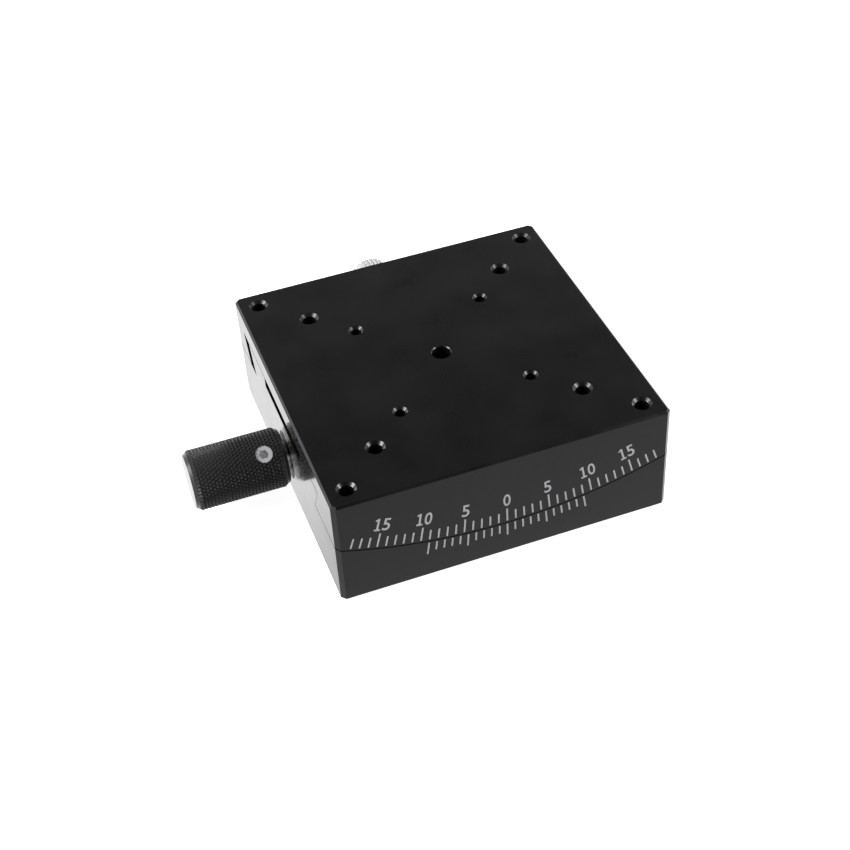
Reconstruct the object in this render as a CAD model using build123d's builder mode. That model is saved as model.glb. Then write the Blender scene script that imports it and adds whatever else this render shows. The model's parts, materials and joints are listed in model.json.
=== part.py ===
from build123d import *
import os
from math import asin, atan, cos, degrees, pi, radians, sin, sqrt, tan

# Goniometer stage: a table that tilts on a curved dovetail about a centre far above it.
# Millimetres, +Z up, scale side towards -Y, knob towards -X.
# The origin is the centre of the base's bottom face.

# Whole stage
stage_side = 80.0
centre_above_table = 100.0
tilt_limit = 15.0
corner_chamfer = 1.0
edge_chamfer = 0.5

# Curved seam between table and base, below the table's top at mid length
seam_depth = 19.5
seam_gap = 0.3
rail_height = 6.6
rail_top_gap = 0.3
base_floor = 4.0

# Dovetail rail on the base
rail_neck_half = 24.5
flank_angle = 60.0
flank_gap = 0.12
channel_half = 14.3

# Gib strip behind the rail
gib_thickness = 4.4
gib_wall_gap = 0.15
gib_end_recess = 2.8
gib_edge_gap = 0.25
gib_pocket_depth = 1.5
gib_screw_angles = (-13.5, -6.5, 6.5, 13.5)
gib_screw_diameter = 4.0
gib_screw_length = 6.0
gib_screw_key = 2.0
gib_screw_key_depth = 2.2
gib_screw_play = 0.05

# Hole patterns in the table
outer_pattern = 70.0
middle_pattern = 50.0
inner_pattern = 32.0
m4_wall_radius = 1.65
m4_mouth_radius = 2.3
m4_depth = 6.0
m3_wall_radius = 1.25
m3_mouth_radius = 1.8
m3_depth = 5.5
centre_bore_radius = 2.25
centre_mouth_radius = 2.45
centre_bore_depth = 8.0

# Mounting holes through the base, reached by tilting the table
base_hole_radius = 2.25
base_head_radius = 3.75
base_head_seat = 8.0

# Worm and sector
teeth_per_turn = 288
worm_pitch_radius = 4.15
worm_thread_length = 26.0
worm_steps_per_turn = 16
pressure_angle = 20.0
mesh_gap = 0.12
tip_gap = 0.2
sector_web = 1.4
sector_tooth_half = 3.0
sector_flange_half = 9.0
sector_flange_thickness = 2.6
sector_end_angle = 19.0
sector_end_play = 0.1
sector_screw_angles = (-12.0, 12.0)
sector_screw_side = 6.0
sector_screw_radius = 1.25
sector_screw_head_radius = 2.35
sector_screw_length = 5.0
sector_screw_key = 1.5
sector_screw_key_depth = 0.9
screw_sink = 0.1
tapping_run_out = 0.5

# Worm housings and shaft
housing_fit = 0.05
housing_wall = 0.85
housing_top_gap = 0.6
knob_housing_length = 14.0
end_housing_length = 12.0
journal_radius = 2.5
running_gap = 0.04
bush_radius = 4.5
bush_flange_radius = 5.5
bush_flange_thickness = 1.5
end_bush_length = 6.0
retainer_radius = 6.0
retainer_thickness = 1.5
retainer_hole_radius = 3.6
retainer_slot_width = 1.0
retainer_slot_depth = 0.8
shoulder_radius = 3.8
shoulder_length = 1.5
thrust_washer_thickness = 0.5
disc_spring_height = 0.9
disc_spring_thickness = 0.35
disc_spring_play = 0.15
end_shoulder_inset = 1.0
spacer_radius = 3.4
housing_screw_radius = 1.5
housing_screw_head_radius = 2.8
housing_screw_grip = 5.0
housing_screw_side = 10.0
housing_screw_key = 2.0
housing_screw_key_depth = 1.2

# Knob
knob_radius = 7.3
knob_length = 23.0
knob_wall_gap = 1.0
knob_chamfer = 0.8
knob_bore_play = 0.01
knob_bore_depth = 19.0
knob_screw_inset = 5.1
knob_screw_angle = 55.0
knob_screw_radius = 2.0
knob_screw_reach = 6.8
shaft_flat_depth = 0.4

# Clamp screw in the back of the table
clamp_head_radius = 5.0
clamp_head_length = 10.0
clamp_head_reach = 18.2
clamp_head_chamfer = 0.5
clamp_collar_radius = 3.5
clamp_collar_length = 4.0
clamp_pad_radius = 1.9
clamp_pad_thickness = 2.0
clamp_travel = 0.3

# Tilt stop
stop_pin_radius = 1.5
stop_pin_side = 19.4
stop_pin_height = 2.0
stop_pin_sink = 8.0
stop_slot_gap = 0.2
stop_over_travel = 0.3

# Small chamfers on pins and screw tips
tip_chamfer = 0.3
gib_pocket_play = 0.15
shaft_flat_margin = 1.05

# How far cuts reach past what they cut
cut_margin = 1.0
tooth_cut_margin = 0.5
reach_margin = 5.0
block_allowance = 0.2

# Sizes worked out from the ones above
half_side = stage_side / 2
seam_radius = centre_above_table + seam_depth
table_bottom_radius = seam_radius - seam_gap / 2
base_top_radius = seam_radius + seam_gap / 2
rail_top_radius = seam_radius - rail_height
ceiling_radius = rail_top_radius - rail_top_gap
flank_run = 1 / tan(radians(flank_angle))
reach_angle = degrees(asin(half_side / (rail_top_radius - reach_margin)))
sweep_angle = reach_angle + reach_margin
sector_pitch_radius = ceiling_radius + sector_web
axle_radius = sector_pitch_radius + worm_pitch_radius
axle_height = base_floor + housing_wall + retainer_radius
centre_height = axle_height + axle_radius
stage_height = centre_height - centre_above_table
housing_screw_length = base_floor + housing_screw_grip
tooth_pitch = 2 * pi * sector_pitch_radius / teeth_per_turn
tooth_step = 360 / teeth_per_turn
tooth_width = tooth_pitch / 2 - mesh_gap
addendum = tooth_pitch / pi
sector_tip_radius = sector_pitch_radius + addendum
worm_tip_radius = worm_pitch_radius + addendum
worm_root_radius = worm_pitch_radius - addendum - tip_gap
sector_root_radius = sector_pitch_radius - addendum - tip_gap
lead_angle = degrees(atan(tooth_pitch / (2 * pi * worm_pitch_radius)))
flank_slope = tan(radians(pressure_angle))
housing_top_radius = sector_tip_radius + housing_top_gap
housing_half = channel_half - housing_fit
knob_housing_face = -half_side + knob_housing_length
end_housing_face = half_side - end_housing_length
flange_face = -half_side + retainer_thickness
bush_inner_face = knob_housing_face
shoulder_face = bush_inner_face + thrust_washer_thickness
knob_face = -half_side - knob_wall_gap
knob_end = knob_face - knob_length
end_shoulder_face = end_housing_face + end_shoulder_inset
end_bush_face = end_shoulder_face + disc_spring_height
flank_radius = (rail_top_radius + seam_radius) / 2
rail_flank_y = rail_neck_half + (seam_radius - flank_radius) * flank_run
gib_inner_y = rail_flank_y + flank_gap
gib_outer_y = gib_inner_y + gib_thickness
gib_pocket_y = gib_outer_y - gib_pocket_depth
gib_pocket_radius = gib_screw_diameter / 2 + gib_pocket_play
slot_wall_y = gib_outer_y + gib_wall_gap

sector_screw_places = [
    (angle, y) for angle in sector_screw_angles for y in (-sector_screw_side, sector_screw_side)
]

knob_screw_turn = radians(knob_screw_angle)

tilt_axis = Axis((0, 0, centre_height), (0, 1, 0))
front_plane = Plane(origin=(0, 0, centre_height), x_dir=(1, 0, 0), z_dir=(0, -1, 0))
axle = Plane(origin=(0, 0, axle_height), x_dir=(0, 1, 0), z_dir=(1, 0, 0))
knob_screw_place = Plane(
    origin=(knob_face - knob_screw_inset, 0, axle_height),
    x_dir=(1, 0, 0),
    z_dir=(0, -cos(knob_screw_turn), sin(knob_screw_turn)),
)

os.makedirs("parts", exist_ok=True)


def swung_plane(angle):
    # Cross-section plane through the tilt axis: local x is +Y, local y points up to the centre
    turn = radians(angle)
    return Plane(origin=(0, 0, centre_height), x_dir=(0, 1, 0), z_dir=(cos(turn), 0, -sin(turn)))


def revolved(points, half_angle, mode=Mode.ADD):
    # Sweeps a closed cross-section of (y, radius) points both ways about the tilt axis
    with BuildSketch(swung_plane(-half_angle)) as section:
        with BuildLine():
            Polyline(*[(y, -radius) for y, radius in points], close=True)
        make_face()
    revolve(section.sketch, axis=tilt_axis, revolution_arc=2 * half_angle, mode=mode)


def flank_y(radius, side_gap=0.0):
    # Distance of the dovetail flank from the middle plane at a given radius
    return rail_neck_half + side_gap + (seam_radius - radius) * flank_run


def seat_x(angle, radius):
    return radius * sin(radians(angle))


def seat_z(angle, radius):
    return centre_height - radius * cos(radians(angle))


def turned(points, place):
    # Turns an outline of (distance, radius) points about the z axis of a plane
    with BuildSketch(Plane(origin=place.origin, x_dir=place.z_dir, z_dir=place.x_dir)) as section:
        with BuildLine():
            Polyline(*points, close=True)
        make_face()
    revolve(section.sketch, axis=Axis(place.origin, place.z_dir))


def bored(place, depth, radius, start=0.0):
    # Round hole along the z axis of a plane
    with BuildSketch(place.offset(start)) as hole:
        Circle(radius)
    extrude(hole.sketch, amount=depth, mode=Mode.SUBTRACT)


def hex_socket(place, depth, across):
    # Six-sided key socket cut from the plane against its z axis
    with BuildSketch(place) as socket:
        RegularPolygon(across / 2, 6, major_radius=False)
    extrude(socket.sketch, amount=-depth, mode=Mode.SUBTRACT)


def back_place(angle):
    # Plane facing +Y on the gib's pocket floor, at an angle along the arc
    return Plane(
        origin=(seat_x(angle, flank_radius), gib_pocket_y, seat_z(angle, flank_radius)),
        x_dir=(1, 0, 0),
        z_dir=(0, 1, 0),
    )


def sector_screw_place(angle, y):
    # Plane on the groove's ceiling, facing the tilt centre
    turn = radians(angle)
    return Plane(
        origin=(seat_x(angle, ceiling_radius), y, seat_z(angle, ceiling_radius)),
        x_dir=(0, 1, 0),
        z_dir=(-sin(turn), 0, cos(turn)),
    )


def save(part, label):
    part.part.label = label
    export_step(part.part, f"parts/{label}.step")


# Table: a square block, concave above the seam, with the dovetail groove under it
with BuildPart() as table:
    with BuildSketch(front_plane):
        with BuildLine():
            bottom_drop = -sqrt(table_bottom_radius**2 - half_side**2)
            Polyline(
                (-half_side, bottom_drop),
                (-half_side, -centre_above_table),
                (half_side, -centre_above_table),
                (half_side, bottom_drop),
            )
            RadiusArc((half_side, bottom_drop), (-half_side, bottom_drop), table_bottom_radius)
        make_face()
    extrude(amount=half_side, both=True)
    chamfer(table.edges().filter_by(Axis.Z), length=corner_chamfer)
    chamfer(table.faces().sort_by(Axis.Z)[-1].edges(), length=edge_chamfer)
    below = base_top_radius + 2 * cut_margin
    revolved(
        [
            (-flank_y(ceiling_radius, flank_gap), ceiling_radius),
            (flank_y(ceiling_radius, slot_wall_y - rail_flank_y), ceiling_radius),
            (flank_y(below, slot_wall_y - rail_flank_y), below),
            (-flank_y(below, flank_gap), below),
        ],
        sweep_angle,
        Mode.SUBTRACT,
    )
    recess_roof = ceiling_radius - sector_flange_thickness
    revolved(
        [
            (-sector_flange_half - housing_fit, recess_roof),
            (sector_flange_half + housing_fit, recess_roof),
            (sector_flange_half + housing_fit, ceiling_radius + cut_margin),
            (-sector_flange_half - housing_fit, ceiling_radius + cut_margin),
        ],
        sector_end_angle + sector_end_play,
        Mode.SUBTRACT,
    )
    # Arc slot that the stop pin runs in
    slot_half = stop_pin_radius + stop_slot_gap
    slot_roof = rail_top_radius - stop_pin_height - stop_slot_gap
    slot_angle = tilt_limit + stop_over_travel + degrees(stop_pin_radius / slot_roof)
    revolved(
        [
            (-stop_pin_side - slot_half, slot_roof),
            (-stop_pin_side + slot_half, slot_roof),
            (-stop_pin_side + slot_half, ceiling_radius + cut_margin),
            (-stop_pin_side - slot_half, ceiling_radius + cut_margin),
        ],
        slot_angle,
        Mode.SUBTRACT,
    )
    # Holes in the top face
    with Locations(Plane.XY.offset(stage_height)):
        with GridLocations(outer_pattern, outer_pattern, 2, 2):
            CounterSinkHole(m4_wall_radius, m4_mouth_radius, depth=m4_depth, counter_sink_angle=90)
        with GridLocations(middle_pattern, middle_pattern, 2, 2):
            CounterSinkHole(m4_wall_radius, m4_mouth_radius, depth=m4_depth, counter_sink_angle=90)
        with GridLocations(inner_pattern, inner_pattern, 2, 2):
            CounterSinkHole(m3_wall_radius, m3_mouth_radius, depth=m3_depth, counter_sink_angle=90)
        CounterSinkHole(
            centre_bore_radius, centre_mouth_radius, depth=centre_bore_depth, counter_sink_angle=90
        )
    # Tapped holes in the back for the gib screws and the clamp screw
    for angle in gib_screw_angles + (0.0,):
        bored(back_place(angle), half_side, gib_screw_diameter / 2 + gib_screw_play)
    # Tapped holes for the sector screws
    for angle, y in sector_screw_places:
        bored(sector_screw_place(angle, y), sector_screw_length + tapping_run_out, sector_screw_radius)
save(table, "table")


# Base: a block hollowed by the seam, leaving the dovetail rail on both sides of the channel
with BuildPart() as base:
    block_height = centre_height - sqrt(rail_top_radius**2 - half_side**2) + block_allowance
    Box(stage_side, stage_side, block_height, align=(Align.CENTER, Align.CENTER, Align.MIN))
    chamfer(base.edges().filter_by(Axis.Z), length=corner_chamfer)
    chamfer(base.faces().sort_by(Axis.Z)[0].edges(), length=edge_chamfer)
    outside = half_side + cut_margin
    above = rail_top_radius - 2 * rail_height - block_height
    revolved(
        [
            (-outside, above),
            (outside, above),
            (outside, base_top_radius),
            (flank_y(base_top_radius), base_top_radius),
            (flank_y(rail_top_radius), rail_top_radius),
            (-flank_y(rail_top_radius), rail_top_radius),
            (-flank_y(base_top_radius), base_top_radius),
            (-outside, base_top_radius),
        ],
        sweep_angle,
        Mode.SUBTRACT,
    )
    with BuildSketch(Plane.XY.offset(base_floor)):
        Rectangle(stage_side + 2 * cut_margin, 2 * channel_half)
    extrude(amount=block_height, mode=Mode.SUBTRACT)
    # Mounting holes with deep counterbores
    with BuildSketch(Plane.XY):
        with GridLocations(outer_pattern, outer_pattern, 2, 2):
            Circle(base_hole_radius)
    extrude(amount=block_height, mode=Mode.SUBTRACT)
    with BuildSketch(Plane.XY.offset(base_head_seat)):
        with GridLocations(outer_pattern, outer_pattern, 2, 2):
            Circle(base_head_radius)
    extrude(amount=block_height, mode=Mode.SUBTRACT)
    # Countersunk holes for the housing screws, from below
    knob_screw_x = -half_side + knob_housing_length / 2
    end_screw_x = half_side - end_housing_length / 2
    housing_screw_places = [
        (x, y) for x in (knob_screw_x, end_screw_x) for y in (-housing_screw_side, housing_screw_side)
    ]
    with Locations(Plane.XY.rotated((180, 0, 0))):
        with Locations(*housing_screw_places):
            CounterSinkHole(
                housing_screw_radius + 0.05,
                housing_screw_head_radius + 0.05,
                depth=base_floor,
                counter_sink_angle=90,
            )
    # Seat of the stop pin in the front rail
    with BuildSketch(Plane.XY.offset(centre_height - rail_top_radius + cut_margin)):
        with Locations((0, -stop_pin_side)):
            Circle(stop_pin_radius)
    extrude(amount=-stop_pin_sink - cut_margin, mode=Mode.SUBTRACT)
save(base, "base")

# Stop pin pressed into the rail
with BuildPart() as stop_pin:
    pin_foot = centre_height - rail_top_radius - stop_pin_sink
    with BuildSketch(Plane.XY.offset(pin_foot)):
        with Locations((0, -stop_pin_side)):
            Circle(stop_pin_radius)
    extrude(amount=stop_pin_sink + stop_pin_height)
    chamfer(stop_pin.faces().sort_by(Axis.Z)[-1].edges(), length=tip_chamfer)
save(stop_pin, "stop_pin")


def housing(near_x, far_x):
    # Block between two faces, with a top concentric with the seam
    with BuildSketch(front_plane) as side:
        with BuildLine():
            floor_drop = base_floor - centre_height
            near_drop = -sqrt(housing_top_radius**2 - near_x**2)
            far_drop = -sqrt(housing_top_radius**2 - far_x**2)
            Polyline((near_x, near_drop), (near_x, floor_drop), (far_x, floor_drop), (far_x, far_drop))
            RadiusArc((far_x, far_drop), (near_x, near_drop), housing_top_radius)
        make_face()
    extrude(side.sketch, amount=housing_half, both=True)


def housing_screw_holes(x):
    with BuildSketch(Plane.XY.offset(base_floor)) as holes:
        with Locations((x, -housing_screw_side), (x, housing_screw_side)):
            Circle(housing_screw_radius)
    extrude(holes.sketch, amount=housing_screw_grip + tapping_run_out, mode=Mode.SUBTRACT)


# Housing at the knob end: a stepped bore for the flanged bush and its retainer
with BuildPart() as knob_housing:
    housing(-half_side, knob_housing_face)
    housing_screw_holes(knob_screw_x)
    bored(axle, retainer_thickness, retainer_radius, -half_side)
    bored(axle, bush_flange_thickness, bush_flange_radius, flange_face)
    bored(axle, knob_housing_length, bush_radius, -half_side)
save(knob_housing, "knob_housing")

# Housing at the far end: a blind bore for the plain bush and the preload spring
with BuildPart() as end_housing:
    housing(end_housing_face, half_side)
    housing_screw_holes(end_screw_x)
    end_bore_depth = end_bush_face + end_bush_length + tapping_run_out - end_housing_face
    bored(axle, end_bore_depth, bush_radius, end_housing_face)
save(end_housing, "end_housing")

# Countersunk screws that hold both housings down
with BuildPart() as housing_screws:
    cone_depth = housing_screw_head_radius - housing_screw_radius
    for screw_x, screw_y in housing_screw_places:
        place = Plane(origin=(screw_x, screw_y, 0))
        turned(
            [
                (screw_sink, 0),
                (screw_sink, housing_screw_head_radius - screw_sink),
                (cone_depth, housing_screw_radius),
                (housing_screw_length, housing_screw_radius),
                (housing_screw_length, 0),
            ],
            place,
        )
        hex_socket(place.offset(screw_sink), -housing_screw_key_depth, housing_screw_key)
save(housing_screws, "housing_screws")

# Flanged bush at the knob end
with BuildPart() as knob_bush:
    bore = journal_radius + running_gap
    flange_end = flange_face + bush_flange_thickness
    turned(
        [
            (flange_face, bore),
            (flange_face, bush_flange_radius),
            (flange_end, bush_flange_radius),
            (flange_end, bush_radius),
            (bush_inner_face, bush_radius),
            (bush_inner_face, bore),
        ],
        axle,
    )
save(knob_bush, "knob_bush")

# Plain bush at the far end
with BuildPart() as end_bush:
    end_bush_end = end_bush_face + end_bush_length
    turned(
        [
            (end_bush_face, bore),
            (end_bush_face, bush_radius),
            (end_bush_end, bush_radius),
            (end_bush_end, bore),
        ],
        axle,
    )
save(end_bush, "end_bush")

# Threaded ring that keeps the flanged bush in, with two slots for a pin spanner
with BuildPart() as retaining_ring:
    turned(
        [
            (-half_side, retainer_hole_radius),
            (-half_side, retainer_radius),
            (flange_face, retainer_radius),
            (flange_face, retainer_hole_radius),
        ],
        axle,
    )
    with BuildSketch(axle.offset(-half_side)):
        Rectangle(2 * retainer_radius + cut_margin, retainer_slot_width)
    extrude(amount=retainer_slot_depth, mode=Mode.SUBTRACT)
save(retaining_ring, "retaining_ring")

# Thrust washer between the flanged bush and the worm's shoulder
with BuildPart() as thrust_washer:
    turned(
        [
            (bush_inner_face, bore),
            (bush_inner_face, shoulder_radius),
            (shoulder_face, shoulder_radius),
            (shoulder_face, bore),
        ],
        axle,
    )
save(thrust_washer, "thrust_washer")

# Disc spring that takes up the worm's end play
with BuildPart() as disc_spring:
    cone_height = disc_spring_height - disc_spring_thickness
    spring_start = end_shoulder_face
    turned(
        [
            (spring_start, bore + disc_spring_play),
            (spring_start + disc_spring_thickness, bore + disc_spring_play),
            (spring_start + disc_spring_height, bush_radius - disc_spring_play),
            (spring_start + cone_height, bush_radius - disc_spring_play),
        ],
        axle,
    )
save(disc_spring, "disc_spring")


def thread_section(turns):
    # Axial outline of the worm thread, some turns away from the worm's middle
    swing = 2 * pi * turns
    place = Plane(
        origin=(turns * tooth_pitch, 0, axle_height),
        x_dir=(0, -sin(swing), cos(swing)),
        z_dir=(0, cos(swing), sin(swing)),
    )
    core_radius = worm_root_radius - tip_gap
    core_half = tooth_width / 2 + (worm_pitch_radius - core_radius) * flank_slope
    crest_half = tooth_width / 2 - addendum * flank_slope
    with BuildSketch(place, mode=Mode.PRIVATE) as section:
        with BuildLine():
            Polyline(
                (core_radius, -core_half),
                (worm_tip_radius, -crest_half),
                (worm_tip_radius, crest_half),
                (core_radius, core_half),
                close=True,
            )
        make_face()
    return section.sketch.face()


# Worm shaft: a single-start thread between two journals, its crest upwards at mid length
with BuildPart() as worm_shaft:
    shaft_tip = knob_face - knob_bore_depth + tapping_run_out
    shaft_end = end_bush_face + end_bush_length
    turned(
        [
            (shaft_tip, 0),
            (shaft_tip, journal_radius),
            (shoulder_face, journal_radius),
            (shoulder_face, shoulder_radius),
            (shoulder_face + shoulder_length, shoulder_radius),
            (shoulder_face + shoulder_length, worm_root_radius),
            (end_shoulder_face, worm_root_radius),
            (end_shoulder_face, journal_radius),
            (shaft_end, journal_radius),
            (shaft_end, 0),
        ],
        axle,
    )
    thread_steps = round((worm_thread_length / tooth_pitch - 1) * worm_steps_per_turn / 2)
    sections = [
        thread_section(step / worm_steps_per_turn) for step in range(-thread_steps, thread_steps + 1)
    ]
    loft(sections, ruled=True)
    # Flat under the knob's set screw
    with BuildSketch(knob_screw_place.offset(journal_radius - shaft_flat_depth)):
        Rectangle(2 * (knob_screw_radius + shaft_flat_margin), 2 * journal_radius)
    extrude(amount=journal_radius, mode=Mode.SUBTRACT)
save(worm_shaft, "worm_shaft")

# Knob with a blind bore and a tapped cross hole
with BuildPart() as knob:
    knob_bore = journal_radius + knob_bore_play
    turned(
        [
            (knob_end, 0),
            (knob_end, knob_radius - knob_chamfer),
            (knob_end + knob_chamfer, knob_radius),
            (knob_face - knob_chamfer, knob_radius),
            (knob_face, knob_radius - knob_chamfer),
            (knob_face, knob_bore),
            (knob_face - knob_bore_depth, knob_bore),
            (knob_face - knob_bore_depth, 0),
        ],
        axle,
    )
    bored(knob_screw_place, knob_radius + cut_margin, knob_screw_radius + gib_screw_play)
save(knob, "knob")

# Set screw that holds the knob on the shaft's flat
with BuildPart() as knob_screw:
    knob_screw_tip = journal_radius - shaft_flat_depth
    turned(
        [
            (knob_screw_tip, 0),
            (knob_screw_tip, knob_screw_radius),
            (knob_screw_reach, knob_screw_radius),
            (knob_screw_reach, 0),
        ],
        knob_screw_place,
    )
    hex_socket(knob_screw_place.offset(knob_screw_reach), gib_screw_key_depth, gib_screw_key)
save(knob_screw, "knob_screw")

# Spacer between the knob and the bush's flange
with BuildPart() as knob_spacer:
    turned(
        [
            (knob_face, journal_radius + knob_bore_play),
            (knob_face, spacer_radius),
            (flange_face, spacer_radius),
            (flange_face, journal_radius + knob_bore_play),
        ],
        axle,
    )
save(knob_spacer, "knob_spacer")

# Toothed sector: a flange let into the table with a skewed toothed band under it
with BuildPart() as worm_sector:
    revolved(
        [
            (-sector_flange_half, recess_roof),
            (sector_flange_half, recess_roof),
            (sector_flange_half, ceiling_radius),
            (sector_tooth_half, ceiling_radius),
            (sector_tooth_half, sector_tip_radius),
            (-sector_tooth_half, sector_tip_radius),
            (-sector_tooth_half, ceiling_radius),
            (-sector_flange_half, ceiling_radius),
        ],
        sector_end_angle,
    )
    # One tooth gap, slanted like the worm's thread, repeated along the arc
    gap_half = (tooth_pitch - tooth_width) / 2
    root_drop = sector_pitch_radius - sector_root_radius
    with BuildSketch(front_plane, mode=Mode.PRIVATE) as gap_section:
        with BuildLine():
            below_tip = sector_tip_radius + tooth_cut_margin
            tip_half_gap = gap_half + (below_tip - sector_pitch_radius) * flank_slope
            root_half_gap = gap_half - root_drop * flank_slope
            Polyline(
                (-tip_half_gap, -below_tip),
                (-root_half_gap, -sector_root_radius),
                (root_half_gap, -sector_root_radius),
                (tip_half_gap, -below_tip),
                close=True,
            )
        make_face()
    slant = radians(lead_angle)
    gap_cutter = extrude(
        gap_section.sketch,
        amount=(sector_tooth_half + tooth_cut_margin) / cos(slant),
        dir=(-sin(slant), cos(slant), 0),
        both=True,
        mode=Mode.PRIVATE,
    )
    gap_count = int(sector_end_angle / tooth_step)
    gap_places = [
        Pos(0, 0, centre_height) * Rot(0, step * tooth_step, 0) * Pos(0, 0, -centre_height)
        for step in range(-gap_count, gap_count + 1)
    ]
    with Locations(*gap_places):
        add(gap_cutter, mode=Mode.SUBTRACT)
    # Countersunk holes on both sides of the toothed band
    for angle, y in sector_screw_places:
        place = sector_screw_place(angle, y)
        cone_depth = sector_screw_head_radius - sector_screw_radius
        bored(place, sector_flange_thickness + cut_margin, sector_screw_radius)
        with BuildSketch(Plane(origin=place.origin, x_dir=place.z_dir, z_dir=place.x_dir)) as sink:
            with BuildLine():
                Polyline(
                    (-cut_margin, 0),
                    (-cut_margin, sector_screw_head_radius + cut_margin),
                    (cone_depth, sector_screw_radius),
                    (cone_depth, 0),
                    close=True,
                )
            make_face()
        revolve(sink.sketch, axis=Axis(place.origin, place.z_dir), mode=Mode.SUBTRACT)
save(worm_sector, "worm_sector")

# Countersunk screws of the sector
with BuildPart() as sector_screws:
    for angle, y in sector_screw_places:
        place = sector_screw_place(angle, y)
        turned(
            [
                (screw_sink, 0),
                (screw_sink, sector_screw_head_radius - screw_sink),
                (sector_screw_head_radius - sector_screw_radius, sector_screw_radius),
                (sector_screw_length, sector_screw_radius),
                (sector_screw_length, 0),
            ],
            place,
        )
        hex_socket(place.offset(screw_sink), -sector_screw_key_depth, sector_screw_key)
save(sector_screws, "sector_screws")

# Gib: a loose flank strip with pockets for the screw tips
with BuildPart() as gib:
    gib_top_radius = ceiling_radius + gib_edge_gap
    gib_bottom_radius = table_bottom_radius - gib_edge_gap
    gib_end_angle = degrees(asin((half_side - gib_end_recess) / flank_radius))
    revolved(
        [
            (flank_y(gib_top_radius, flank_gap), gib_top_radius),
            (flank_y(gib_top_radius, flank_gap + gib_thickness), gib_top_radius),
            (flank_y(gib_bottom_radius, flank_gap + gib_thickness), gib_bottom_radius),
            (flank_y(gib_bottom_radius, flank_gap), gib_bottom_radius),
        ],
        gib_end_angle,
    )
    for angle in gib_screw_angles + (0.0,):
        bored(back_place(angle), gib_thickness, gib_pocket_radius)
save(gib, "gib")

# Set screws that bear on the gib
with BuildPart() as gib_screws:
    for angle in gib_screw_angles:
        place = back_place(angle)
        turned(
            [
                (0, 0),
                (0, gib_screw_diameter / 2),
                (gib_screw_length, gib_screw_diameter / 2),
                (gib_screw_length, 0),
            ],
            place,
        )
        hex_socket(place.offset(gib_screw_length), gib_screw_key_depth, gib_screw_key)
save(gib_screws, "gib_screws")

# Soft pad between the clamp screw and the gib, drawn released
clamp_place = back_place(0.0)
pad_end = clamp_travel + clamp_pad_thickness
with BuildPart() as clamp_pad:
    turned(
        [
            (clamp_travel, 0),
            (clamp_travel, clamp_pad_radius - tip_chamfer),
            (clamp_travel + tip_chamfer, clamp_pad_radius),
            (pad_end, clamp_pad_radius),
            (pad_end, 0),
        ],
        clamp_place,
    )
save(clamp_pad, "clamp_pad")

# Clamp screw with a collar and a round head
with BuildPart() as clamp_screw:
    head_end = half_side + clamp_head_reach - gib_pocket_y
    head_start = head_end - clamp_head_length
    collar_start = head_start - clamp_collar_length
    thread_radius = gib_screw_diameter / 2
    turned(
        [
            (pad_end, 0),
            (pad_end, thread_radius),
            (collar_start, thread_radius),
            (collar_start, clamp_collar_radius),
            (head_start, clamp_collar_radius),
            (head_start, clamp_head_radius - clamp_head_chamfer),
            (head_start + clamp_head_chamfer, clamp_head_radius),
            (head_end - clamp_head_chamfer, clamp_head_radius),
            (head_end, clamp_head_radius - clamp_head_chamfer),
            (head_end, 0),
        ],
        clamp_place,
    )
save(clamp_screw, "clamp_screw")
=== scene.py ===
import json
import math

import bmesh
import bpy
from mathutils import Matrix, Vector


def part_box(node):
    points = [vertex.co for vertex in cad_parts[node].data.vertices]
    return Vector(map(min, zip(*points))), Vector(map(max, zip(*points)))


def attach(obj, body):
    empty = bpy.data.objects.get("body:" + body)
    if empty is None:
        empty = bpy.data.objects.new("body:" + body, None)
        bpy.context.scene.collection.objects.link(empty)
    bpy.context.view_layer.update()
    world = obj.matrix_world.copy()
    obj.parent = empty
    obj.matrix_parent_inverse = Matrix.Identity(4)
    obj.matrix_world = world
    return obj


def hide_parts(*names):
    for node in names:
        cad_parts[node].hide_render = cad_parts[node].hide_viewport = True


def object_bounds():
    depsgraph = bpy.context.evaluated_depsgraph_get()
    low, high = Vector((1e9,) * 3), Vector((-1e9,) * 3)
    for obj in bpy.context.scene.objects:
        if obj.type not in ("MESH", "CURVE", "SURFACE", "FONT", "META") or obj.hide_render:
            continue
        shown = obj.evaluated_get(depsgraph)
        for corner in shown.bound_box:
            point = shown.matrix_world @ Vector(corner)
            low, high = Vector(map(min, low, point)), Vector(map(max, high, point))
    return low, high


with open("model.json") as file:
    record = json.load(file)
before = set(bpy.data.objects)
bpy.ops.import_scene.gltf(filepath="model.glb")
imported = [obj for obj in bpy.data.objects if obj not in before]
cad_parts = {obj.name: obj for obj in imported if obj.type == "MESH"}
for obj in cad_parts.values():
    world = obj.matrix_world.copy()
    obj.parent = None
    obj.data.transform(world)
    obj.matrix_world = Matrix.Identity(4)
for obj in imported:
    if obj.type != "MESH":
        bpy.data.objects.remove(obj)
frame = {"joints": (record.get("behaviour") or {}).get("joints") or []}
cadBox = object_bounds()

mm = 0.001
mergeDistance = 0.0005 * mm
pureWhite = (1, 1, 1, 1)
alongX, alongY, alongZ = range(3)  # places of the axes in a vector
tiltJoint = next(joint for joint in frame["joints"] if joint["name"] == "table_tilt")
tiltCentre = Vector(tiltJoint["pos_m"])
print("frame loaded, tilt centre", tuple(round(value, 4) for value in tiltCentre))


# Small helpers

def clearSelection():
    if bpy.context.object and bpy.context.object.mode != "OBJECT":
        bpy.ops.object.mode_set(mode="OBJECT")
    bpy.ops.object.select_all(action="DESELECT")


def pick(*things):
    clearSelection()
    for thing in things:
        thing.select_set(True)
    bpy.context.view_layer.objects.active = things[0]


def applyPlace(piece):
    # the object's place, turn and size go into its mesh
    pick(piece)
    bpy.ops.object.transform_apply(location=True, rotation=True, scale=True)


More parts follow.
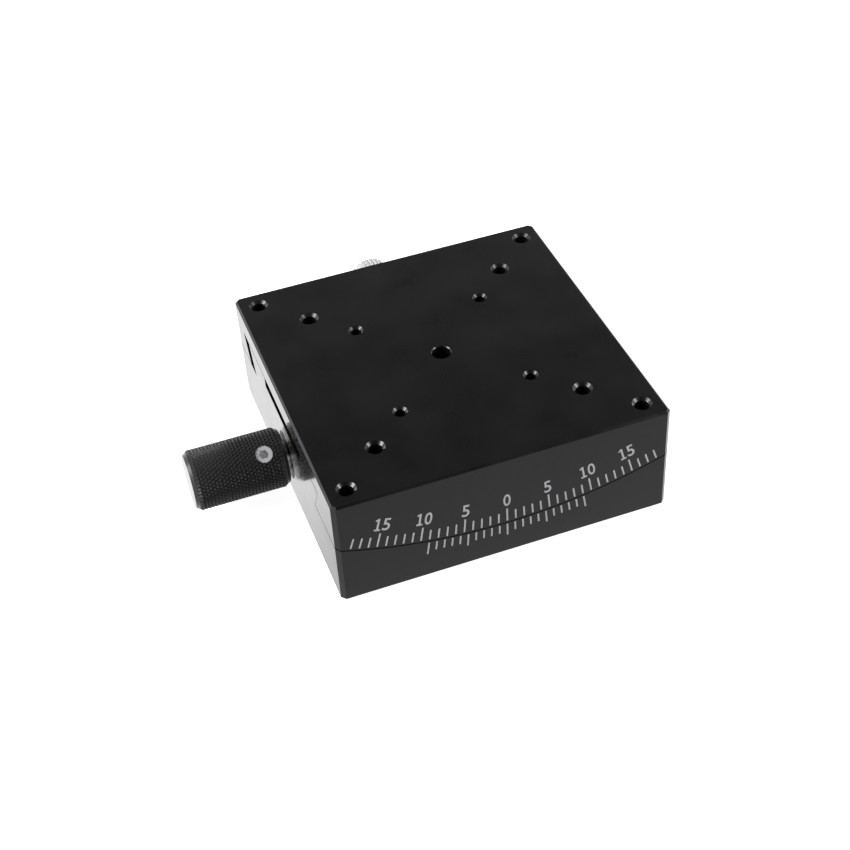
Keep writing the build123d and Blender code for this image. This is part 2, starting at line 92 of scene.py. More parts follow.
def selectOnly(kind, test):
    # in edit mode, selects the vertices, edges or faces that pass the test
    bpy.ops.mesh.select_mode(type=kind)
    bpy.ops.mesh.select_all(action="DESELECT")
    mesh = bmesh.from_edit_mesh(bpy.context.object.data)
    for part in {"VERT": mesh.verts, "EDGE": mesh.edges, "FACE": mesh.faces}[kind]:
        part.select = test(part)
    mesh.select_flush_mode()
    bmesh.update_edit_mesh(bpy.context.object.data)


def finishPiece(piece, name, body, material, smoothAngle):
    # place goes into the mesh, normals outwards, then the piece rides on its body
    applyPlace(piece)
    bpy.ops.object.mode_set(mode="EDIT")
    bpy.ops.mesh.select_all(action="SELECT")
    bpy.ops.mesh.remove_doubles(threshold=mergeDistance)
    bpy.ops.mesh.normals_make_consistent(inside=False)
    bpy.ops.object.mode_set(mode="OBJECT")
    bpy.ops.object.shade_smooth_by_angle(angle=math.radians(smoothAngle))
    piece.name = name
    piece.data.name = name
    piece.data.materials.clear()
    piece.data.materials.append(material)
    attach(piece, body)
    print("made", name, len(piece.data.polygons), "faces")


def startRings(radius, segments, height):
    # an open circle round local Z, left selected in edit mode
    clearSelection()
    bpy.ops.mesh.primitive_circle_add(
        vertices=segments, radius=radius, fill_type="NOTHING", location=(0, 0, 0))
    piece = bpy.context.object
    bpy.ops.object.mode_set(mode="EDIT")
    bpy.ops.mesh.select_all(action="SELECT")
    bpy.ops.transform.translate(value=(0, 0, height))
    return piece


def nextRing(climb, widen=1.0):
    # extrudes the selected ring along Z and scales it about the axis
    bpy.ops.mesh.extrude_region_move(TRANSFORM_OT_translate={"value": (0, 0, climb)})
    if widen != 1.0:
        bpy.ops.transform.resize(value=(widen, widen, 1), center_override=(0, 0, 0))


def ringSteps(points):
    # points are (height, radius), and the ring at the first one is already selected
    for before, after in zip(points, points[1:]):
        nextRing(after[0] - before[0], after[1] / before[1])


def axisPlace(origin, direction):
    # matrix that takes local Z to a direction at an origin
    turn = Vector((0, 0, 1)).rotation_difference(Vector(direction).normalized())
    return Matrix.Translation(origin) @ turn.to_matrix().to_4x4()


def applyBoolean(piece, other, operation):
    # cuts the other object out of the piece or merges it in, and removes the other object
    pick(piece)
    step = piece.modifiers.new("shape", "BOOLEAN")
    step.object = other
    step.operation = operation
    step.solver = "EXACT"
    bpy.ops.object.modifier_apply(modifier=step.name)
    bpy.data.objects.remove(other)


# Materials

# nearly all values of a noise pattern lie between these two
noiseSpan = {"From Min": 0.3, "From Max": 0.7}


def linearColour(hexCode):
    parts = [int(hexCode[i:i + 2], 16) / 255 for i in (1, 3, 5)]
    return [part / 12.92 if part <= 0.04045 else ((part + 0.055) / 1.055) ** 2.4 for part in parts] + [1.0]


def addNode(tree, kind, links=None, **settings):
    # links gives each socket, by name or number, a value or the socket that feeds it
    node = tree.nodes.new(kind)
    for name, value in settings.items():
        setattr(node, name, value)
    for socket, source in (links or {}).items():
        if isinstance(source, bpy.types.NodeSocket):
            tree.links.new(source, node.inputs[socket])
        else:
            node.inputs[socket].default_value = source
    return node


def patternScale(size):
    # noise scale for a feature of this size in metres
    return 1 / size


def newMaterial(name):
    material = bpy.data.materials.new(name)
    material.use_nodes = True
    material.node_tree.nodes.clear()
    return material, material.node_tree


anodisedLook = {
    "dark": "#09080a",
    "light": "#0f0e10",
    "roughLow": 0.26,
    "roughHigh": 0.36,
    "ior": 1.45,
    "grain": 0.14 * mm,  # bead-blasted grain, drawn a little coarse so that it shows
    "grainDetail": 2.0,
    "cloud": 11 * mm,
    "cloudDetail": 4.0,
    "bump": 0.05,
    "bumpHeight": 0.02 * mm,
    "glanceBlend": 0.5,
    "glanceGloss": 0.92,
    "glancePower": 4.0,
    "glanceRoughness": 0.12,
}
# the knob's black anodised colour is lifted to a mid grey: painted highlight, standing in for the light its
# knurl catches
knobSkinWithPaintedHighlight = {**anodisedLook, "dark": "#2b2b2c", "light": "#363637", "roughLow": 0.3, "roughHigh": 0.42}


def blackAnodised(name, look):
    # bead-blasted aluminium dyed black: a dark matte skin that turns into a mirror at a glancing angle
    material, tree = newMaterial(name)
    place = addNode(tree, "ShaderNodeTexCoord")
    grain = addNode(tree, "ShaderNodeTexNoise",
                    {"Vector": place.outputs["Object"], "Scale": patternScale(look["grain"]),
                     "Detail": look["grainDetail"]})
    cloud = addNode(tree, "ShaderNodeTexNoise",
                    {"Vector": place.outputs["Object"], "Scale": patternScale(look["cloud"]),
                     "Detail": look["cloudDetail"]})
    colour = addNode(tree, "ShaderNodeMix",
                     {0: cloud.outputs["Fac"], 6: linearColour(look["dark"]), 7: linearColour(look["light"])},
                     data_type="RGBA")
    rough = addNode(tree, "ShaderNodeMapRange",
                    {"Value": cloud.outputs["Fac"], **noiseSpan,
                     "To Min": look["roughLow"], "To Max": look["roughHigh"]})
    bump = addNode(tree, "ShaderNodeBump",
                   {"Height": grain.outputs["Fac"], "Strength": look["bump"], "Distance": look["bumpHeight"]})
    skin = addNode(tree, "ShaderNodeBsdfPrincipled",
                   {"Base Color": colour.outputs[2], "Roughness": rough.outputs["Result"],
                    "Normal": bump.outputs["Normal"], "IOR": look["ior"], "Metallic": 0.0})
    glance = addNode(tree, "ShaderNodeLayerWeight",
                     {"Blend": look["glanceBlend"], "Normal": bump.outputs["Normal"]})
    power = addNode(tree, "ShaderNodeMath",
                    {0: glance.outputs["Facing"], 1: look["glancePower"]}, operation="POWER")
    share = addNode(tree, "ShaderNodeMath",
                    {0: power.outputs[0], 1: look["glanceGloss"]}, operation="MULTIPLY")
    mirror = addNode(tree, "ShaderNodeBsdfAnisotropic",
                     {"Color": pureWhite, "Roughness": look["glanceRoughness"],
                      "Normal": bump.outputs["Normal"]})
    both = addNode(tree, "ShaderNodeMixShader",
                   {0: share.outputs[0], 1: skin.outputs[0], 2: mirror.outputs[0]})
    addNode(tree, "ShaderNodeOutputMaterial", {"Surface": both.outputs[0]})
    return material


turnedLook = {
    "stretch": 0.02,
    "lineDetail": 3.0,
    "cloud": 3 * mm,
    "cloudDetail": 3.0,
    "smoothest": 0.8,  # shares of the metal's own roughness
    "roughest": 1.25,
    "bump": 0.08,
    "bumpHeight": 0.02 * mm,
}


def turnedMetal(name, colour, roughness, lineSize, axis, metallic=1.0):
    # metal with fine tool lines across one axis of the part
    look = turnedLook
    material, tree = newMaterial(name)
    place = addNode(tree, "ShaderNodeTexCoord")
    stretch = [look["stretch"]] * 3
    stretch[axis] = 1.0
    along = addNode(tree, "ShaderNodeMapping", {"Vector": place.outputs["Object"], "Scale": stretch})
    lines = addNode(tree, "ShaderNodeTexNoise",
                    {"Vector": along.outputs[0], "Scale": patternScale(lineSize),
                     "Detail": look["lineDetail"]})
    cloud = addNode(tree, "ShaderNodeTexNoise",
                    {"Vector": place.outputs["Object"], "Scale": patternScale(look["cloud"]),
                     "Detail": look["cloudDetail"]})
    rough = addNode(tree, "ShaderNodeMapRange",
                    {"Value": cloud.outputs["Fac"], **noiseSpan,
                     "To Min": roughness * look["smoothest"], "To Max": roughness * look["roughest"]})
    bump = addNode(tree, "ShaderNodeBump",
                   {"Height": lines.outputs["Fac"], "Strength": look["bump"], "Distance": look["bumpHeight"]})
    skin = addNode(tree, "ShaderNodeBsdfPrincipled",
                   {"Base Color": linearColour(colour), "Metallic": metallic,
                    "Roughness": rough.outputs["Result"], "Normal": bump.outputs["Normal"]})
    addNode(tree, "ShaderNodeOutputMaterial", {"Surface": skin.outputs[0]})
    return material


engravedLook = {
    "colour": "#b4b5b8",
    "speckle": 0.12 * mm,
    "speckleDetail": 2.0,
    "toneLow": 0.75,
    "toneHigh": 1.0,
    "roughness": 0.7,
    "ior": 1.4,
}


def engravedFill(name, look):
    # laser-engraved line: the dye is burnt off and leaves a matte grey, a little uneven
    material, tree = newMaterial(name)
    place = addNode(tree, "ShaderNodeTexCoord")
    speckle = addNode(tree, "ShaderNodeTexNoise",
                      {"Vector": place.outputs["Object"], "Scale": patternScale(look["speckle"]),
                       "Detail": look["speckleDetail"]})
    tone = addNode(tree, "ShaderNodeMapRange",
                   {"Value": speckle.outputs["Fac"], **noiseSpan,
                    "To Min": look["toneLow"], "To Max": look["toneHigh"]})
    shade = addNode(tree, "ShaderNodeMix",
                    {0: 1.0, 6: linearColour(look["colour"]), 7: tone.outputs["Result"]},
                    data_type="RGBA", blend_type="MULTIPLY")
    skin = addNode(tree, "ShaderNodeBsdfPrincipled",
                   {"Base Color": shade.outputs[2], "Roughness": look["roughness"], "IOR": look["ior"]})
    addNode(tree, "ShaderNodeOutputMaterial", {"Surface": skin.outputs[0]})
    return material


anodisedBlock = blackAnodised("blackAnodisedAluminium", anodisedLook)
# the knob's finish: black anodised aluminium whose lifted grey colour is a painted highlight
anodisedKnobPaintedHighlight = blackAnodised("knurledAnodisedAluminiumWithPaintedHighlight", knobSkinWithPaintedHighlight)
# lathe-turned stainless steel: bright, with fine rings from the tool
turnedSteel = turnedMetal(
    "turnedStainlessSteel", colour="#b9babc", roughness=0.24, lineSize=0.08 * mm, axis=alongX)
# rolled knurl on stainless steel, only half metallic: its near-white matte share is painted reflection of the
# bright room, so that it looks nearly white
clampSteelWithPaintedReflection = turnedMetal(
    "knurledStainlessSteelWithPaintedReflection", colour="#e9e9eb", roughness=0.3, lineSize=0.08 * mm, axis=alongY, metallic=0.5)
# ground stainless steel: smooth and bright, with finer rings than turned steel
groundSteel = turnedMetal(
    "groundStainlessSteel", colour="#b4b5b7", roughness=0.2, lineSize=0.05 * mm, axis=alongZ)
# black-oxide steel: dull charcoal with a low sheen
blackenedSteel = turnedMetal(
    "blackOxideSteel", colour="#3b3b3e", roughness=0.38, lineSize=0.1 * mm, axis=alongZ)
# turned bearing bronze: brown gold, with rings from the tool
turnedBronze = turnedMetal(
    "turnedBronze", colour="#b48a4e", roughness=0.3, lineSize=0.08 * mm, axis=alongX)
# milled brass: pale yellow, with the cutter's wider lines
milledBrass = turnedMetal(
    "milledBrass", colour="#cba75c", roughness=0.28, lineSize=0.12 * mm, axis=alongX)
engravedGrey = engravedFill("laserEngravedMark", engravedLook)

nodeFinish = {
    "base": anodisedBlock,
    "table": anodisedBlock,
    "knob_housing": anodisedBlock,
    "end_housing": anodisedBlock,
    "housing_screws": blackenedSteel,
    "sector_screws": blackenedSteel,
    "gib_screws": blackenedSteel,
    "retaining_ring": blackenedSteel,
    "knob_bush": turnedBronze,
    "end_bush": turnedBronze,
    "worm_sector": turnedBronze,
    "gib": milledBrass,
    "clamp_pad": milledBrass,
    "worm_shaft": turnedSteel,
    "knob_screw": clampSteelWithPaintedReflection,
    "knob_spacer": turnedSteel,
    "thrust_washer": turnedSteel,
    "disc_spring": turnedSteel,
    "stop_pin": groundSteel,
    "knob": anodisedKnobPaintedHighlight,
    "clamp_screw": clampSteelWithPaintedReflection,
}
for nodeName, finish in nodeFinish.items():
    for slot in bpy.data.objects[nodeName].material_slots:
        slot.link = "OBJECT"
        slot.material = finish
print("materials set")


# Knob

knobLook = {
    "teethRound": 48,
    "rows": 13,
    "toothDepth": 0.4 * mm,
    "toothInset": 0.29 * mm,
    "outerBevel": 0.8 * mm,
    "boreRadius": 2.51 * mm,
    "boreDepth": 19 * mm,
    "screwHoleRadius": 2.05 * mm,
    "screwHoleSegments": 40,
    "screwHoleReach": 2 * mm,  # how far the cutter stands out of the knob
    "smoothAngle": 20,
}


def makeKnob(look):
    low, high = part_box("knob")
    axle = Vector((low.x, (low.y + high.y) / 2, (low.z + high.z) / 2))
    radius = (high.z - low.z) / 2
    length = high.x - low.x
    valley = radius - look["toothDepth"]
    bevel = look["outerBevel"]
    rowLength = (length - 2 * bevel) / look["rows"]

    def onGrid(edge):
        # just four edges meet in the middle of a cell, and an edge of the grid touches no middle
        return len(edge.link_faces) == 2 and all(len(end.link_edges) != 4 for end in edge.verts)

    piece = startRings(valley, look["teethRound"], bevel)
    for row in range(look["rows"]):
        nextRing(rowLength)
    # each cell is split round its middle, and the grid's own edges go, which leaves diamonds
    bpy.ops.mesh.select_all(action="SELECT")
    bpy.ops.mesh.normals_make_consistent(inside=False)
    bpy.ops.mesh.poke()
    selectOnly("EDGE", onGrid)
    bpy.ops.mesh.dissolve_edges(use_verts=False)
    selectOnly("FACE", lambda face: len(face.verts) == 4)
    bpy.ops.mesh.inset(thickness=look["toothInset"], depth=look["toothDepth"], use_individual=True)
    # bevelled ends, the blind bore and the outer end face
    selectOnly("EDGE", lambda edge: edge.is_boundary and edge.verts[0].co.z < length / 2)
    ringSteps([(bevel, valley), (0, valley - bevel + look["toothDepth"])])
    bpy.ops.mesh.edge_face_add()
    selectOnly("EDGE", lambda edge: edge.is_boundary and edge.verts[0].co.z > length / 2)
    ringSteps([
        (length - bevel, valley),
        (length, radius - bevel),
        (length, look["boreRadius"]),
        (length - look["boreDepth"], look["boreRadius"]),
    ])
    bpy.ops.mesh.edge_face_add()
    bpy.ops.mesh.select_all(action="SELECT")
    bpy.ops.mesh.normals_make_consistent(inside=False)
    bpy.ops.object.mode_set(mode="OBJECT")
    piece.matrix_world = axisPlace(axle, (1, 0, 0))
    applyPlace(piece)
    # round hole from the axle out through the side, for the set screw
    screwLow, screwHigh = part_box("knob_screw")
    screwMiddle = (screwLow + screwHigh) / 2
    screwFoot = Vector((screwMiddle.x, axle.y, axle.z))
    holeLength = radius + look["screwHoleReach"]
    clearSelection()
    bpy.ops.mesh.primitive_cylinder_add(
        vertices=look["screwHoleSegments"], radius=look["screwHoleRadius"], depth=holeLength)
    cutter = bpy.context.object
    outwards = axisPlace(screwFoot, screwMiddle - screwFoot)
    cutter.matrix_world = outwards @ Matrix.Translation((0, 0, holeLength / 2))
    applyBoolean(piece, cutter, "DIFFERENCE")
    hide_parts("knob")
    finishPiece(piece, "knurledKnob", "worm", anodisedKnobPaintedHighlight, look["smoothAngle"])


makeKnob(knobLook)


# Clamp screw

clampLook = {
    "headLength": 10 * mm,
    "headChamfer": 0.6 * mm,
    "teeth": 28,
    "linesPerTooth": 4,
    "toothDepth": 0.42 * mm,
    "rimShare": 0.97,  # lines beyond this share of the radius belong to the rim
    "dishEdge": 2.2,  # the dish in the end face, in chamfers in from the rim
    "dishFloor": 2.5,
    "dishDepth": 0.25 * mm,
    "collarLength": 4 * mm,
    "collarRadius": 3.5 * mm,
    "collarChamfer": 0.3 * mm,
    "neckShare": 0.8,  # opening in the collar's end, as a share of the thread's radius
    "threadRadius": 2.0 * mm,
    "threadPitch": 0.7 * mm,
    "threadDepth": 0.38 * mm,
    "threadLap": 0.2 * mm,  # how far the shank goes into the collar
    "runInPitches": 1.5,
    "rowsPerPitch": 8,
    "threadSegments": 24,
    "smoothAngle": 25,
}


def makeClampHead(look):
    low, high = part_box("clamp_screw")
    centre = Vector(((low.x + high.x) / 2, high.y, (low.z + high.z) / 2))
    radius = (high.x - low.x) / 2
    length, chamfer = look["headLength"], look["headChamfer"]
    collarEnd = length + look["collarLength"]
    collarRadius, collarChamfer = look["collarRadius"], look["collarChamfer"]
    neckRadius = look["threadRadius"] * look["neckShare"]
    segments = look["teeth"] * look["linesPerTooth"]
    piece = startRings(neckRadius, segments, collarEnd)
    ringSteps([
        (collarEnd, neckRadius),
        (collarEnd, collarRadius - collarChamfer),
        (collarEnd - collarChamfer, collarRadius),
        (length, collarRadius),
        (length, radius - chamfer),
        (length - chamfer, radius),
        (chamfer, radius),
        (0, radius - chamfer),
        (0, radius - look["dishEdge"] * chamfer),
        (look["dishDepth"], radius - look["dishFloor"] * chamfer),
    ])
    bpy.ops.mesh.edge_face_add()
    # straight knurl: the first line of each tooth is pressed in at the rim
    lineAngle = 2 * math.pi / segments

    def inValley(vertex):
        line = round((math.atan2(vertex.co.y, vertex.co.x) % (2 * math.pi)) / lineAngle)
        return vertex.co.xy.length > radius * look["rimShare"] and line % look["linesPerTooth"] == 0

    selectOnly("VERT", inValley)
    shrink = 1 - look["toothDepth"] / radius
    bpy.ops.transform.resize(value=(shrink, shrink, 1), center_override=(0, 0, 0))
    # the neck's opening is closed
    selectOnly("EDGE", lambda edge: edge.is_boundary)
    bpy.ops.mesh.edge_face_add()
    bpy.ops.object.mode_set(mode="OBJECT")
    piece.matrix_world = axisPlace(centre, (0, -1, 0))
    return piece


def makeClampThread(look):
    # a fine grid round the shank, pressed into a single-start thread
    low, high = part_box("clamp_screw")
    start = low.y
    end = high.y - look["headLength"] - look["collarLength"] + look["threadLap"]
    centre = Vector(((low.x + high.x) / 2, start, (low.z + high.z) / 2))
    rows = round((end - start) / look["threadPitch"] * look["rowsPerPitch"])
    climb = (end - start) / rows
    runIn = look["runInPitches"] * look["threadPitch"]
    piece = startRings(look["threadRadius"], look["threadSegments"], 0)
    bpy.ops.mesh.edge_face_add()
    selectOnly("EDGE", lambda edge: True)
    for row in range(rows):
        nextRing(climb)
    mesh = bmesh.from_edit_mesh(piece.data)
    for vertex in mesh.verts:
        turn = math.atan2(vertex.co.y, vertex.co.x) / (2 * math.pi)
        phase = (vertex.co.z / look["threadPitch"] + turn) % 1.0
        depth = abs(2 * phase - 1)
        # the crest rises from the root over the run-in
        risen = min(1.0, vertex.co.z / runIn)
        crest = look["threadRadius"] - look["threadDepth"] * (1 - risen)
        reach = min(crest, look["threadRadius"] - look["threadDepth"] * depth)
        vertex.co.x *= reach / look["threadRadius"]
        vertex.co.y *= reach / look["threadRadius"]
    bmesh.update_edit_mesh(piece.data)
    selectOnly("EDGE", lambda edge: edge.is_boundary)
    bpy.ops.mesh.edge_face_add()
    bpy.ops.object.mode_set(mode="OBJECT")
    piece.matrix_world = axisPlace(centre, (0, 1, 0))
    return piece


def makeClampScrew(look):
    head = makeClampHead(look)
    thread = makeClampThread(look)
    for part in (head, thread):
        applyPlace(part)
    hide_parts("clamp_screw")
    finishPiece(head, "clampScrewHead", "clamp_screw", clampSteelWithPaintedReflection, look["smoothAngle"])
    finishPiece(thread, "clampScrewThread", "clamp_screw", clampSteelWithPaintedReflection, look["smoothAngle"])


makeClampScrew(clampLook)


# Degree scale, vernier and numbers

scaleLook = {
    "marks": 18,
    "step": 1.0,
    "longEvery": 5,
    "footRadius": 118.95 * mm,
    "longLength": 3.95 * mm,
    "shortLength": 2.9 * mm,
}
vernierLook = {
    "marks": 10,
    "step": 0.9,
    "longEvery": 5,
    "topRadius": 119.9 * mm,
    "longLength": 3.55 * mm,
    "shortLength": 2.55 * mm,
}
markLook = {
    "width": 0.4 * mm,
    "proud": 0.012 * mm,
    "sunk": 0.03 * mm,
    "endRounding": 0.42,  # as a share of the width
    "endSegments": 3,
    "smoothAngle": 30,
}
numberLook = {
    "largest": 15,
    "step": 5,
    "radius": 112.45 * mm,
    "height": 3.5 * mm,
    "digitWidth": 1.75 * mm,
    "digitPitch": 2.0 * mm,
    "strokeOffset": 0.035 * mm,
    "curveSteps": 6,
    "oneStem": 0.46 * mm,
    "oneFoot": 1.4 * mm,
    "oneFlag": 0.9 * mm,
    "flagStroke": 0.9,  # as a share of the stem
    "flagLean": 35,
    "flagLeft": 0.36,  # as a share of the flag
    "flagDrop": 0.85,  # as a share of the stem
}
markThickness = markLook["proud"] + markLook["sunk"]
markMiddle = (markLook["sunk"] - markLook["proud"]) / 2  # how far a mark's middle lies behind the face


def aboutTilt(angle):
    # turns a place at the bottom of the arc to an angle along it, positive to the right
    turn = Matrix.Rotation(-math.radians(angle), 4, "Y")
    return Matrix.Translation(tiltCentre) @ turn @ Matrix.Translation(-tiltCentre)


def runsInwards(edge):
    # an edge that goes from the face into the block
    return abs((edge.verts[0].co - edge.verts[1].co).normalized().y) > 0.9


def makeMark(outerRadius, length):
    # one engraved line at the bottom of the arc, with rounded ends
    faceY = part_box("table")[0].y
    clearSelection()
    bpy.ops.mesh.primitive_cube_add(size=1, location=(0, 0, 0))
    mark = bpy.context.object
    mark.scale = (markLook["width"], markThickness, length)
    mark.location = (tiltCentre.x, faceY + markMiddle, tiltCentre.z - outerRadius + length / 2)
    applyPlace(mark)
    bpy.ops.object.mode_set(mode="EDIT")
    selectOnly("EDGE", runsInwards)
    bpy.ops.mesh.bevel(
        offset=markLook["width"] * markLook["endRounding"], segments=markLook["endSegments"], affect="EDGES")
    bpy.ops.object.mode_set(mode="OBJECT")
    return mark


def copiesAlongArc(master, angles):
    copies = []
    for angle in angles:
        twin = master.copy()
        twin.data = master.data.copy()
        bpy.context.collection.objects.link(twin)
        twin.matrix_world = aboutTilt(angle)
        copies.append(twin)
    bpy.data.objects.remove(master)
    return copies


def joined(parts):
    pick(*parts)
    bpy.ops.object.join()
    return bpy.context.object


def marksAlongArc(look, longMark, shortMark):
    # the same marks each way from zero, with a long one at every fifth
    count, step, every = look["marks"], look["step"], look["longEvery"]
    parts = copiesAlongArc(longMark, [i * step for i in range(-count, count + 1) if i % every == 0])
    parts += copiesAlongArc(shortMark, [i * step for i in range(-count, count + 1) if i % every])
    return joined(parts)


def makeScale(look):
    longMark = makeMark(look["footRadius"], look["longLength"])
    shortMark = makeMark(look["footRadius"], look["shortLength"])
    marks = marksAlongArc(look, longMark, shortMark)
    finishPiece(marks, "degreeScale", "table", engravedGrey, markLook["smoothAngle"])


def makeVernier(look):
    longMark = makeMark(look["topRadius"] + look["longLength"], look["longLength"])
    shortMark = makeMark(look["topRadius"] + look["shortLength"], look["shortLength"])
    marks = marksAlongArc(look, longMark, shortMark)
    finishPiece(marks, "vernierScale", "base", engravedGrey, markLook["smoothAngle"])


def makeBar(wide, high, across, up, turn):
    # one bar of a figure, in the XY plane
    clearSelection()
    bpy.ops.mesh.primitive_cube_add(size=1, location=(0, 0, 0))
    bar = bpy.context.object
    size = Matrix.Diagonal((wide, high, markThickness, 1))
    bar.matrix_world = Matrix.Translation((across, up, 0)) @ Matrix.Rotation(turn, 4, "Z") @ size
    applyPlace(bar)
    return bar


def makeOne(look):
    # a figure one with its flag and foot, merged into one outline
    stem, flag, height = look["oneStem"], look["oneFlag"], look["height"]
    figure = makeBar(stem, height, 0, 0, 0)
    footBar = makeBar(look["oneFoot"], stem, 0, (stem - height) / 2, 0)
    flagBar = makeBar(
        flag, stem * look["flagStroke"],
        -flag * look["flagLeft"], height / 2 - stem * look["flagDrop"], math.radians(look["flagLean"]))
    for bar in (footBar, flagBar):
        applyBoolean(figure, bar, "UNION")
    return figure


def makeRoundDigit(look, digit):
    # a figure from the plain built-in face, thickened and fitted to its height and width
    clearSelection()
    bpy.ops.object.text_add(location=(0, 0, 0))
    text = bpy.context.object
    text.data.body = digit
    text.data.size = look["height"]
    text.data.extrude = markThickness / 2
    text.data.offset = look["strokeOffset"]
    text.data.resolution_u = look["curveSteps"]
    bpy.ops.object.convert(target="MESH")
    figure = bpy.context.object
    corners = [vertex.co for vertex in figure.data.vertices]
    low = Vector([min(corner[i] for corner in corners) for i in range(3)])
    high = Vector([max(corner[i] for corner in corners) for i in range(3)])
    size = high - low
    fit = Matrix.Diagonal((look["digitWidth"] / size.x, look["height"] / size.y, 1, 1))
    figure.data.transform(fit @ Matrix.Translation(-(low + high) / 2))
    return figure


def makeNumber(look, value):
    # a number centred at the bottom of the arc
    digits = str(value)
    figures = []
    for place, digit in enumerate(digits):
        figure = makeOne(look) if digit == "1" else makeRoundDigit(look, digit)
        across = (place - (len(digits) - 1) / 2) * look["digitPitch"]
        figure.data.transform(Matrix.Translation((across, 0, 0)))
        figures.append(figure)
    number = joined(figures) if len(figures) > 1 else figures[0]
    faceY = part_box("table")[0].y
    upright = Matrix.Rotation(math.radians(90), 4, "X")
    spot = Matrix.Translation((tiltCentre.x, faceY + markMiddle, tiltCentre.z - look["radius"]))
    number.data.transform(spot @ upright)
    return number


def makeNumbers(look):
    parts = []
    for degree in range(-look["largest"], look["largest"] + 1, look["step"]):
        parts += copiesAlongArc(makeNumber(look, abs(degree)), [degree])
    finishPiece(joined(parts), "degreeNumbers", "table", engravedGrey, markLook["smoothAngle"])


makeScale(scaleLook)
makeVernier(vernierLook)
makeNumbers(numberLook)


# Floor, light and camera

studioLook = {
    "floorSize": 4.0,
    "floorDrop": 0.03 * mm,  # keeps the floor clear of the base's underside
    "floorPaper": (0.8, 0.8, 0.8, 1),
    "floorGlow": 0.86,
    "glossFront": {"y": -45 * mm, "strength": 0.6},
    "glossBack": {"y": 10 * mm, "strength": 1.1},
    "worldFill": 0.45,
    "roomBright": 0.2,  # heights of a direction at which the room is bright and dark
    "roomDark": 0.6,
    "cameraSide": {"y": -0.2, "strength": 0.01},
    "farSide": {"y": 0.7, "strength": 0.085},
}
softBoxLook = {
    "leftSoftBox": {"towards": (-0.833, 0.159, 0.524), "distance": 0.7, "size": 0.32, "power": 6.5},
    "rightSoftBox": {"towards": (0.773, -0.35, 0.524), "distance": 0.7, "size": 0.24, "power": 3.2},
    "topSoftBox": {"towards": (0.22, -0.39, 0.9), "distance": 0.7, "size": 0.12, "power": 0.05},
}


def makeFloor(look):
    clearSelection()
    bpy.ops.mesh.primitive_plane_add(size=look["floorSize"], location=(0, 0, cadBox[0].z - look["floorDrop"]))
    floor = bpy.context.object
    floor.name = "studioFloor"
    # matte paper, lifted to near white where the camera sees it
    material, tree = newMaterial("paleFloor")
    rays = addNode(tree, "ShaderNodeLightPath")
    paper = addNode(tree, "ShaderNodeBsdfDiffuse", {"Color": look["floorPaper"]})
    glow = addNode(tree, "ShaderNodeEmission", {"Color": pureWhite, "Strength": look["floorGlow"]})
    seen = addNode(tree, "ShaderNodeAddShader", {0: paper.outputs[0], 1: glow.outputs[0]})
    cameraOrPaper = addNode(tree, "ShaderNodeMixShader",
                            {0: rays.outputs["Is Camera Ray"], 1: paper.outputs[0], 2: seen.outputs[0]})
    # what mirror-like faces see of the floor is brighter behind the object than before it
    place = addNode(tree, "ShaderNodeTexCoord")
    parts = addNode(tree, "ShaderNodeSeparateXYZ", {0: place.outputs["Object"]})
    front, back = look["glossFront"], look["glossBack"]
    strength = addNode(tree, "ShaderNodeMapRange",
                       {"Value": parts.outputs["Y"], "From Min": front["y"], "From Max": back["y"],
                        "To Min": front["strength"], "To Max": back["strength"]})
    mirrored = addNode(tree, "ShaderNodeEmission", {"Color": pureWhite, "Strength": strength.outputs[0]})
    shown = addNode(tree, "ShaderNodeMixShader",
                    {0: rays.outputs["Is Glossy Ray"], 1: cameraOrPaper.outputs[0], 2: mirrored.outputs[0]})
    # from below the floor isn't there, so that the underside can be looked at
    side = addNode(tree, "ShaderNodeNewGeometry")
    clear = addNode(tree, "ShaderNodeBsdfTransparent")
    fromAbove = addNode(tree, "ShaderNodeMixShader",
                        {0: side.outputs["Backfacing"], 1: shown.outputs[0], 2: clear.outputs[0]})
    addNode(tree, "ShaderNodeOutputMaterial", {"Surface": fromAbove.outputs[0]})
    floor.data.materials.append(material)


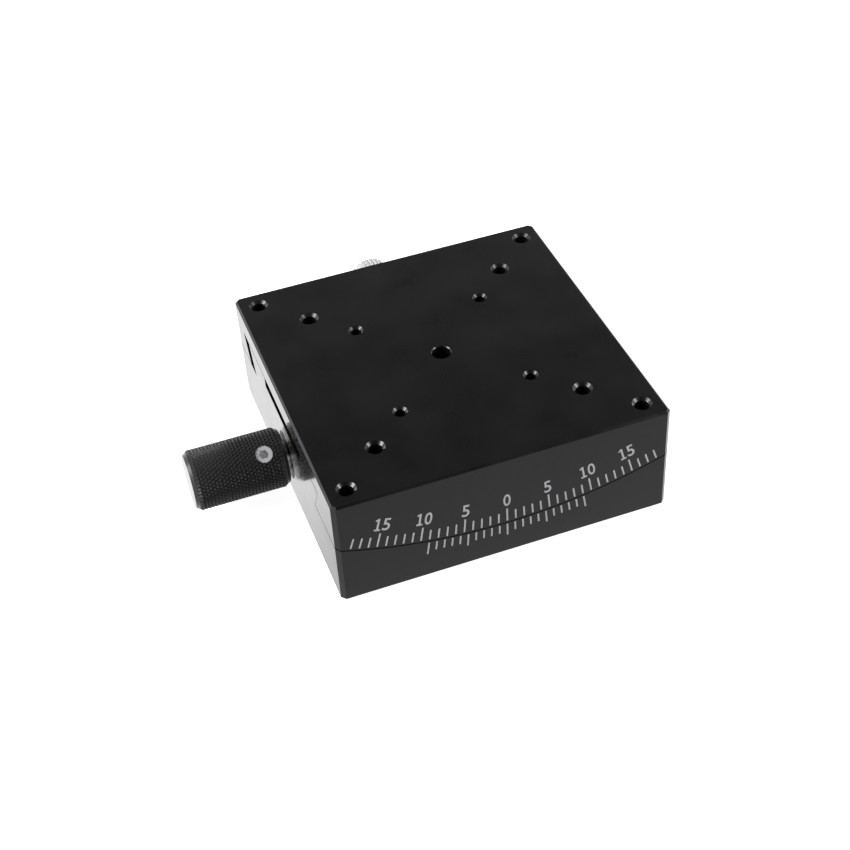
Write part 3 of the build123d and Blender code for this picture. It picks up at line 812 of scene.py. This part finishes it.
def makeWorld(look):
    world = bpy.data.worlds.new("studioWorld")
    bpy.context.scene.world = world
    world.use_nodes = True
    tree = world.node_tree
    tree.nodes.clear()
    rays = addNode(tree, "ShaderNodeLightPath")
    place = addNode(tree, "ShaderNodeTexCoord")
    parts = addNode(tree, "ShaderNodeSeparateXYZ", {0: place.outputs["Generated"]})
    # what mirror-like faces see: a white room that darkens overhead and towards the camera's side
    near, far = look["cameraSide"], look["farSide"]
    horizon = addNode(tree, "ShaderNodeMapRange",
                      {"Value": parts.outputs["Z"], "From Min": look["roomBright"],
                       "From Max": look["roomDark"], "To Min": 1.0, "To Max": 0.0})
    behind = addNode(tree, "ShaderNodeMapRange",
                     {"Value": parts.outputs["Y"], "From Min": near["y"], "From Max": far["y"],
                      "To Min": near["strength"], "To Max": far["strength"]})
    room = addNode(tree, "ShaderNodeMath", {0: horizon.outputs[0], 1: behind.outputs[0]}, operation="MAXIMUM")
    glossy = addNode(tree, "ShaderNodeBackground", {"Color": pureWhite, "Strength": room.outputs[0]})
    fill = addNode(tree, "ShaderNodeBackground", {"Color": pureWhite, "Strength": look["worldFill"]})
    backdrop = addNode(tree, "ShaderNodeBackground", {"Color": pureWhite, "Strength": 1.0})
    lit = addNode(tree, "ShaderNodeMixShader",
                  {0: rays.outputs["Is Glossy Ray"], 1: fill.outputs[0], 2: glossy.outputs[0]})
    shown = addNode(tree, "ShaderNodeMixShader",
                    {0: rays.outputs["Is Camera Ray"], 1: lit.outputs[0], 2: backdrop.outputs[0]})
    addNode(tree, "ShaderNodeOutputWorld", {"Surface": shown.outputs[0]})


def makeSoftBox(name, look):
    lamp = bpy.data.lights.new(name, "AREA")
    lamp.size = look["size"]
    lamp.energy = look["power"]
    box = bpy.data.objects.new(name, lamp)
    bpy.context.collection.objects.link(box)
    towards = Vector(look["towards"]).normalized()
    box.matrix_world = axisPlace(towards * look["distance"], towards)


makeFloor(studioLook)
makeWorld(studioLook)
for boxName, boxLook in softBoxLook.items():
    makeSoftBox(boxName, boxLook)

# the view of the photograph, fitted to its corners and hole pattern, round the middle of the table's top
cameraLook = {
    "azimuth": -17.58,
    "elevation": 41.91,
    "roll": -3.84,
    "distance": 366.9 * mm,
    "sideways": 3.86 * mm,
    "upwards": 17.14 * mm,
    "lens": 66.02,
    "sensor": 36,
    "clipStart": 10 * mm,
}


def makeCamera(look):
    camera = bpy.data.objects.new("photoCamera", bpy.data.cameras.new("photoCamera"))
    bpy.context.collection.objects.link(camera)
    camera.data.sensor_width = look["sensor"]
    camera.data.lens = look["lens"]
    camera.data.clip_start = look["clipStart"]
    target = Vector((tiltCentre.x, tiltCentre.y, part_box("table")[1].z))
    aim = (
        Matrix.Rotation(math.radians(look["azimuth"]), 4, "Z")
        @ Matrix.Rotation(math.radians(90 - look["elevation"]), 4, "X")
        @ Matrix.Rotation(math.radians(look["roll"]), 4, "Z")
    )
    stand = Matrix.Translation((-look["sideways"], -look["upwards"], look["distance"]))
    camera.matrix_world = Matrix.Translation(target) @ aim @ stand
    bpy.context.scene.camera = camera


makeCamera(cameraLook)
bpy.context.scene.view_settings.view_transform = "Standard"
print("floor, light and camera set")
